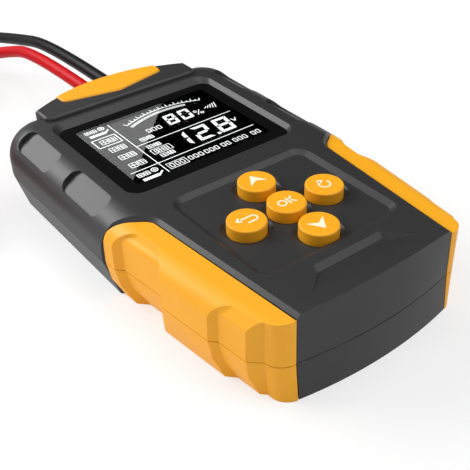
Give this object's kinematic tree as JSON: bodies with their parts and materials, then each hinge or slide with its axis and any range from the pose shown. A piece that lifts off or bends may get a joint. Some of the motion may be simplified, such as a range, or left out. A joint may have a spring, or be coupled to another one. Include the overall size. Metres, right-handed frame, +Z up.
{
  "type": "battery tester",
  "caption": "Hand-held car battery tester with a framed display, a cross of press keys, side grips and red and black leads wound in coils that end in spring clamps.",
  "frame": {"origin": "middle of the base of the case, on the surface that it lies on", "axes": "+Z up through the display, +Y towards the end where the leads come out, +X to the tester's right seen from the keypad end"},
  "size_m": [0.1649, 0.3356, 0.0308],
  "materials": {
    "dark_plastic": "fine grained matte",
    "orange_rubber": "satin",
    "orange_key": "matte",
    "window": "polished",
    "gasket_foam": "matte",
    "lcd_glass": "polished",
    "strip_rubber": "matte",
    "backlight_plate": "frosted",
    "white_plastic": "satin",
    "circuit_board": "satin",
    "chip_plastic": "matte",
    "ceramic": "matte",
    "capacitor_can": "satin",
    "steel": "satin",
    "copper": "satin",
    "red_lead": "satin",
    "black_lead": "satin",
    "red_plastic": "satin",
    "black_plastic": "satin",
    "tie_plastic": "satin"
  },
  "bodies": {
    "tester": {"upper_shell": "dark_plastic", "lower_shell": "dark_plastic", "end_bumper": "orange_rubber", "left_grip_upper": "orange_rubber", "left_grip_lower": "orange_rubber", "right_grip_upper": "orange_rubber", "right_grip_lower": "orange_rubber", "display_window": "window", "window_gasket": "gasket_foam", "lcd_panel": "lcd_glass", "lcd_strip": "strip_rubber", "backlight": "backlight_plate", "lcd_holder": "white_plastic", "main_board": "circuit_board", "board_screws": "steel", "case_screws": "steel", "tact_switches": "chip_plastic", "controller_chip": "chip_plastic", "load_resistors": "ceramic", "capacitors": "capacitor_can", "beeper": "chip_plastic", "power_transistors": "chip_plastic", "lead_terminals": "copper", "red_inner_lead": "red_lead", "red_lead": "red_lead", "red_lead_coil": "red_lead", "red_coil_tie": "tie_plastic", "red_clamp_fixed_arm": "red_plastic", "red_clamp_pivot_pin": "steel", "red_clamp_spring": "steel", "red_clamp_fixed_contact": "copper", "red_clamp_crimp": "steel", "black_inner_lead": "black_lead", "black_lead": "black_lead", "black_lead_coil": "black_lead", "black_coil_tie": "tie_plastic", "black_clamp_fixed_arm": "black_plastic", "black_clamp_pivot_pin": "steel", "black_clamp_spring": "steel", "black_clamp_fixed_contact": "copper", "black_clamp_crimp": "steel"},
    "key_up": {"key_up": "orange_key", "plunger_up": "white_plastic"},
    "key_down": {"key_down": "orange_key", "plunger_down": "white_plastic"},
    "key_left": {"key_left": "orange_key", "plunger_left": "white_plastic"},
    "key_right": {"key_right": "orange_key", "plunger_right": "white_plastic"},
    "key_ok": {"key_ok": "orange_key", "plunger_ok": "white_plastic"},
    "red_clamp_jaw": {"red_clamp_moving_arm": "red_plastic", "red_clamp_moving_contact": "copper"},
    "black_clamp_jaw": {"black_clamp_moving_arm": "black_plastic", "black_clamp_moving_contact": "copper"}
  },
  "joints": [
    {"name": "press_up", "type": "slide", "parent": "tester", "child": "key_up", "axis": [0, 0, -1], "range_m": [0, 0.0008], "stiffness_N_per_m": 1200, "springref_m": -0.0005},
    {"name": "press_down", "type": "slide", "parent": "tester", "child": "key_down", "axis": [0, 0, -1], "range_m": [0, 0.0008], "stiffness_N_per_m": 1200, "springref_m": -0.0005},
    {"name": "press_left", "type": "slide", "parent": "tester", "child": "key_left", "axis": [0, 0, -1], "range_m": [0, 0.0008], "stiffness_N_per_m": 1200, "springref_m": -0.0005},
    {"name": "press_right", "type": "slide", "parent": "tester", "child": "key_right", "axis": [0, 0, -1], "range_m": [0, 0.0008], "stiffness_N_per_m": 1200, "springref_m": -0.0005},
    {"name": "press_ok", "type": "slide", "parent": "tester", "child": "key_ok", "axis": [0, 0, -1], "range_m": [0, 0.0008], "stiffness_N_per_m": 1200, "springref_m": -0.0005},
    {"name": "red_clamp_open", "type": "hinge", "parent": "tester", "child": "red_clamp_jaw", "pos_m": [-0.0771, 0.087, 0.0093], "axis": [0, 0, 1], "range_deg": [0, 24], "stiffness_Nm_per_rad": 0.8, "springref_deg": -20.05, "deforming": ["red_clamp_spring"]},
    {"name": "black_clamp_open", "type": "hinge", "parent": "tester", "child": "black_clamp_jaw", "pos_m": [-0.1036, 0.167, 0.0093], "axis": [0, 0, -1], "range_deg": [0, 24], "stiffness_Nm_per_rad": 0.8, "springref_deg": -20.05, "deforming": ["black_clamp_spring"]}
  ]
}
